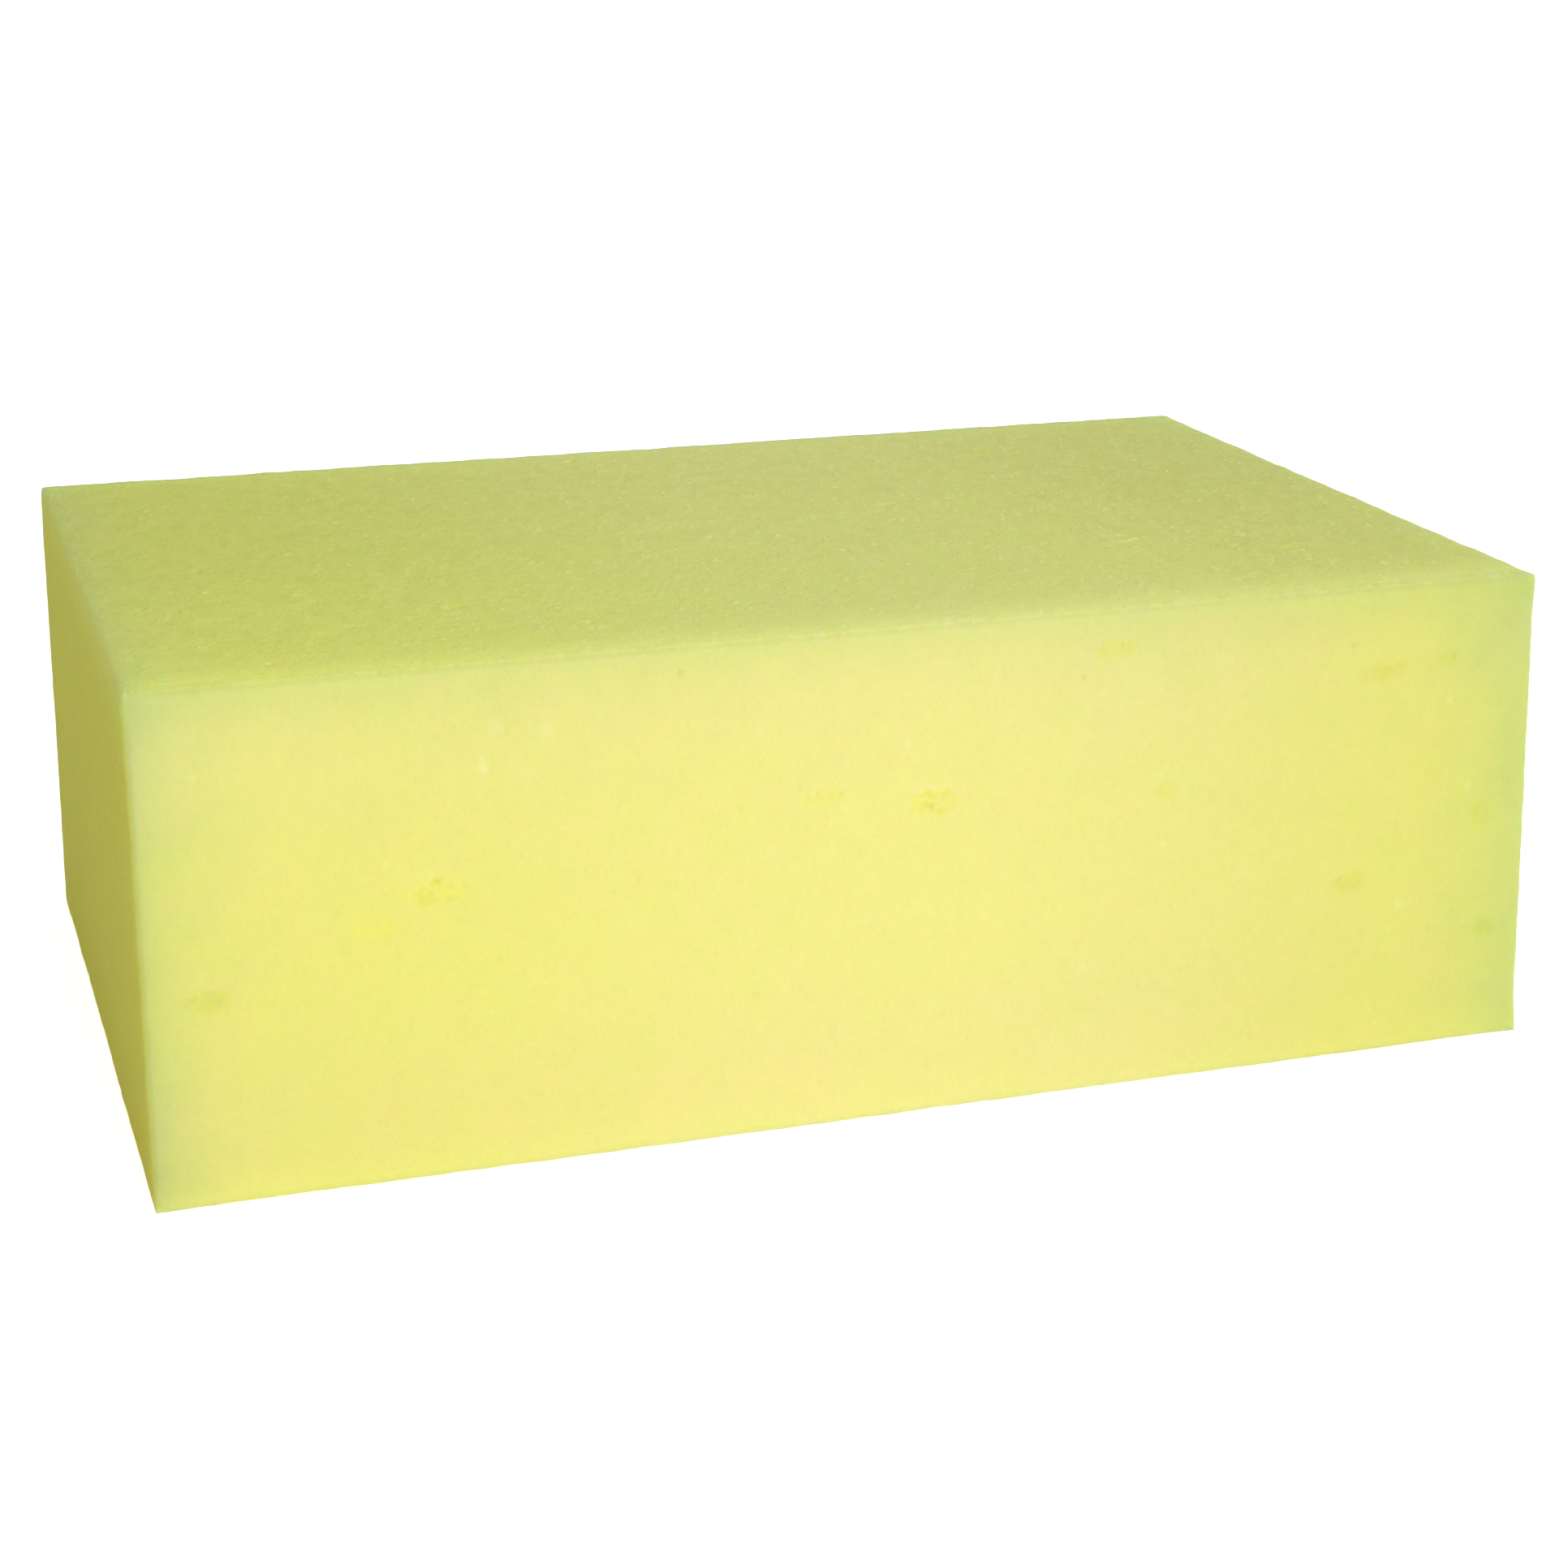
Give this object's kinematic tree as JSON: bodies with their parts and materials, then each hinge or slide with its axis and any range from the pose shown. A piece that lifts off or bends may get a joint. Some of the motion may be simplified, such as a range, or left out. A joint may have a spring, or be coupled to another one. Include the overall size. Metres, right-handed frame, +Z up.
{
  "type": "foam sponge block",
  "caption": "Rectangular block of yellow open-cell foam, a hand-held sponge for wetting, wiping and applying water, paste, grout or paint.",
  "frame": {"origin": "centre of the bottom face, on the surface that the block rests on", "axes": "+X along the length, +Y across the width towards the back, +Z up through the thickness"},
  "size_m": [0.17, 0.112, 0.06],
  "materials": {
    "foam": "matte open-cell polyurethane foam, soft and porous"
  },
  "bodies": {
    "root": {"foam_block": "foam"}
  },
  "joints": []
}
